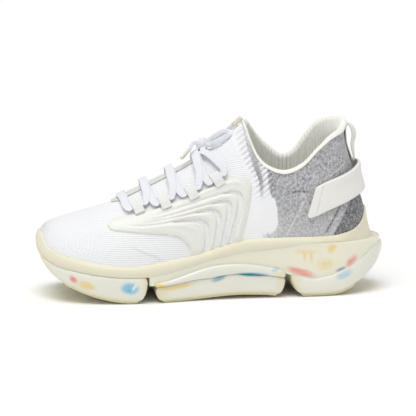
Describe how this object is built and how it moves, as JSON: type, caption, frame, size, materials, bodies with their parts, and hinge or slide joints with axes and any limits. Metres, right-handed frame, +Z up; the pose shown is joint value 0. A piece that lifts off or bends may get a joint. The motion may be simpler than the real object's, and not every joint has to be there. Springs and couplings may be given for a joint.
{
  "type": "running shoe",
  "caption": "Left running shoe with a knit upper, moulded side cage, milky cushioned sole in segments, flat laces, heel strap and pull loop.",
  "frame": {"origin": "centre of the footprint on the ground, under the middle of the shoe's length and width", "axes": "-X towards the toe, +X towards the heel, +Y towards the inner (medial) side, +Z up"},
  "size_m": [0.302, 0.104, 0.1522],
  "materials": {
    "tread_rubber": "satin",
    "clear_sole": "milky, slightly see-through, gloss",
    "core_foam": "foamed, matt",
    "chip_red": "foamed, matt",
    "chip_yellow": "foamed, matt",
    "chip_blue": "foamed, matt",
    "chip_teal": "foamed, matt",
    "tray_shell": "satin",
    "board": "stitched fibre board",
    "sock_fabric": "smooth knit over foam",
    "white_knit": "fine ribbed knit",
    "grey_marl": "mottled marl knit",
    "collar_knit": "ribbed knit",
    "cage_shell": "satin",
    "webbing": "woven tape",
    "lace_cord": "flat woven lace",
    "aglet_film": "clear film over cord"
  },
  "bodies": {
    "rearfoot": {"tread_midfoot": "tread_rubber", "tread_heel": "tread_rubber", "midfoot_pod": "clear_sole", "heel_pod": "clear_sole", "midfoot_foam": "core_foam", "heel_foam": "core_foam", "midsole_window": "clear_sole", "heel_cushion": "core_foam", "chip_mid_yellow": "chip_yellow", "chip_mid_teal": "chip_teal", "chip_mid_deep": "chip_teal", "chip_heel_red": "chip_red", "chip_heel_yellow": "chip_yellow", "chip_heel_blue": "chip_blue", "chip_medial_yellow": "chip_yellow", "tray_rear": "tray_shell", "strobel_rear": "board", "sockliner_rear": "sock_fabric", "vamp_flex_panel": "white_knit", "tongue_knit": "white_knit", "knit_quarter_lateral": "white_knit", "knit_quarter_medial": "white_knit", "ankle_rib_sleeve": "white_knit", "heel_quarter": "grey_marl", "collar_rib": "collar_knit", "heel_lining": "collar_knit", "cage_lateral": "cage_shell", "cage_medial": "cage_shell", "lace_loop_lateral_1": "webbing", "lace_loop_lateral_2": "webbing", "lace_loop_lateral_3": "webbing", "lace_loop_lateral_4": "webbing", "lace_loop_medial_1": "webbing", "lace_loop_medial_2": "webbing", "lace_loop_medial_3": "webbing", "lace_loop_medial_4": "webbing", "lace": "lace_cord", "lace_end_left": "lace_cord", "lace_end_right": "lace_cord", "lace_bow": "lace_cord", "aglet_left": "aglet_film", "aglet_right": "aglet_film", "tongue_band": "webbing", "heel_strap": "cage_shell", "pull_anchor": "webbing"},
    "forefoot": {"toe_vamp": "white_knit", "tray_front": "tray_shell", "forefoot_pod": "clear_sole", "forefoot_foam": "core_foam", "tread_forefoot": "tread_rubber", "strobel_front": "board", "sockliner_front": "sock_fabric", "chip_front_red": "chip_red", "chip_front_yellow": "chip_yellow", "chip_front_blue": "chip_blue", "chip_medial_red": "chip_red", "chip_medial_blue": "chip_blue"},
    "pull_loop": {"pull_loop": "webbing"}
  },
  "joints": [
    {"name": "toe_flex", "type": "hinge", "parent": "rearfoot", "child": "forefoot", "pos_m": [-0.0555, 0, 0.0334], "axis": [0, 1, 0], "range_deg": [0, 25], "stiffness_Nm_per_rad": 7, "deforming": ["vamp_flex_panel", "cage_lateral", "cage_medial", "lace", "lace_loop_lateral_1", "lace_loop_medial_1", "tongue_band"]},
    {"name": "pull_swing", "type": "hinge", "parent": "rearfoot", "child": "pull_loop", "pos_m": [0.1244, 0, 0.12825], "axis": [-0.1639, 0, 0.9865], "range_deg": [-20, 20], "stiffness_Nm_per_rad": 0.01}
  ]
}
